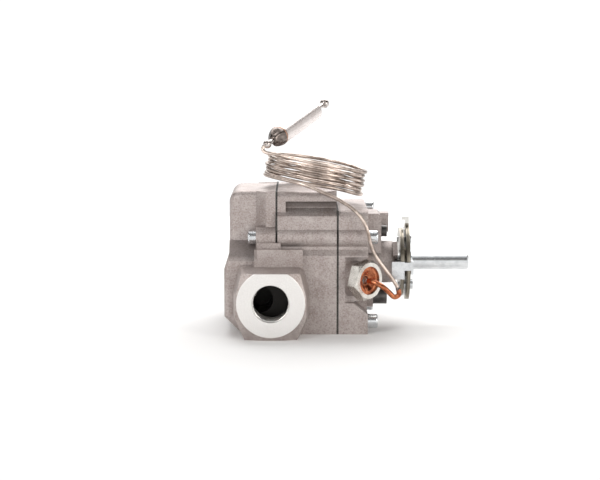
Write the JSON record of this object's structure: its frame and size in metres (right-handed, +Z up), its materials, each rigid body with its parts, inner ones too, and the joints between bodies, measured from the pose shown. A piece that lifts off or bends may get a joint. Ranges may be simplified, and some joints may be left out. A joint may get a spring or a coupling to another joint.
{
  "type": "thermostatic gas valve with remote bulb",
  "caption": "Cast gas valve with a pipe bore through two bosses, a D-shaft with dial plates, and a coiled capillary that leads to a sensing bulb.",
  "frame": {"origin": "centre of the inlet's mouth, on the pipe axis", "axes": "+Y along the gas pipe from inlet to outlet, +X out along the dial shaft, +Z up"},
  "size_m": [0.0991, 0.0811, 0.0905],
  "materials": {
    "cast_aluminium": "as-cast, fine grain",
    "gasket_fibre": "pressed fibre",
    "zinc_steel": "bright zinc plate",
    "nickel_steel": "nickel plate",
    "copper": "bare copper",
    "capillary_steel": "drawn stainless, warm reflections",
    "bulb_steel": "drawn stainless",
    "braze": "brazed and crimped",
    "brass": "turned brass",
    "rubber": "nitrile rubber",
    "spring_steel": "spring wire",
    "dial_plate": "bright plate, brown reflections",
    "black_oxide": "black oxide"
  },
  "bodies": {
    "valve_body": {"rear_body": "cast_aluminium", "middle_housing": "cast_aluminium", "front_cover": "cast_aluminium", "rear_gasket": "gasket_fibre", "front_gasket": "gasket_fibre", "rear_screws": "zinc_steel", "front_screws": "zinc_steel", "lock_washers": "zinc_steel", "valve_seat": "brass", "stem_guide": "brass", "valve_spring": "spring_steel", "shaft_bushing": "brass", "shaft_seal": "rubber", "guide_pins": "brass", "bypass_seal": "rubber", "pilot_cap": "black_oxide", "gland_nut": "nickel_steel", "copper_cup": "copper", "copper_sleeve": "copper", "capillary_lead": "capillary_steel", "capillary_tail": "capillary_steel", "capillary_coil": "capillary_steel", "bulb_bead": "braze", "bulb_shoulder": "braze", "bulb_shell": "bulb_steel", "bulb_tip": "bulb_steel"},
    "dial": {"dial_shaft": "zinc_steel", "adjusting_screw": "brass", "retaining_ring": "spring_steel", "inner_dial_plate": "dial_plate", "outer_dial_plate": "dial_plate", "stop_bracket": "zinc_steel", "stop_pin": "black_oxide", "dial_clamp_screws": "zinc_steel"},
    "capsule": {"capsule_plate": "nickel_steel", "capsule_diaphragm": "nickel_steel", "thrust_button": "brass", "capsule_lead": "capillary_steel"},
    "poppet": {"valve_disc": "brass", "valve_facing": "rubber", "valve_stem": "brass"},
    "bypass_adjuster": {"bypass_screw": "black_oxide"},
    "pilot_adjuster": {"pilot_screw": "brass"}
  },
  "joints": [
    {"name": "dial_turn", "type": "hinge", "parent": "valve_body", "child": "dial", "pos_m": [0.06, 0.039, 0.0111], "axis": [1, 0, 0], "range_deg": [0, 280]},
    {"name": "capsule_travel", "type": "slide", "parent": "valve_body", "child": "capsule", "axis": [1, 0, 0], "range_m": [0, 0.0016]},
    {"name": "valve_travel", "type": "slide", "parent": "valve_body", "child": "poppet", "axis": [1, 0, 0], "range_m": [0, 0.0016], "deforming": ["valve_spring"]},
    {"name": "bypass_turn", "type": "hinge", "parent": "valve_body", "child": "bypass_adjuster", "pos_m": [0.045, 0.034, 0.0245], "axis": [1, 0, 0], "range_deg": [0, 360]},
    {"name": "pilot_turn", "type": "hinge", "parent": "valve_body", "child": "pilot_adjuster", "pos_m": [0.042, 0.039, -0.003], "axis": [1, 0, 0], "range_deg": [0, 360]}
  ],
  "couplings": [
    {"joint": "capsule_travel", "follows": "dial_turn", "m_per_rad": 0.00031922},
    {"joint": "valve_travel", "follows": "dial_turn", "m_per_rad": 0.00031922}
  ]
}
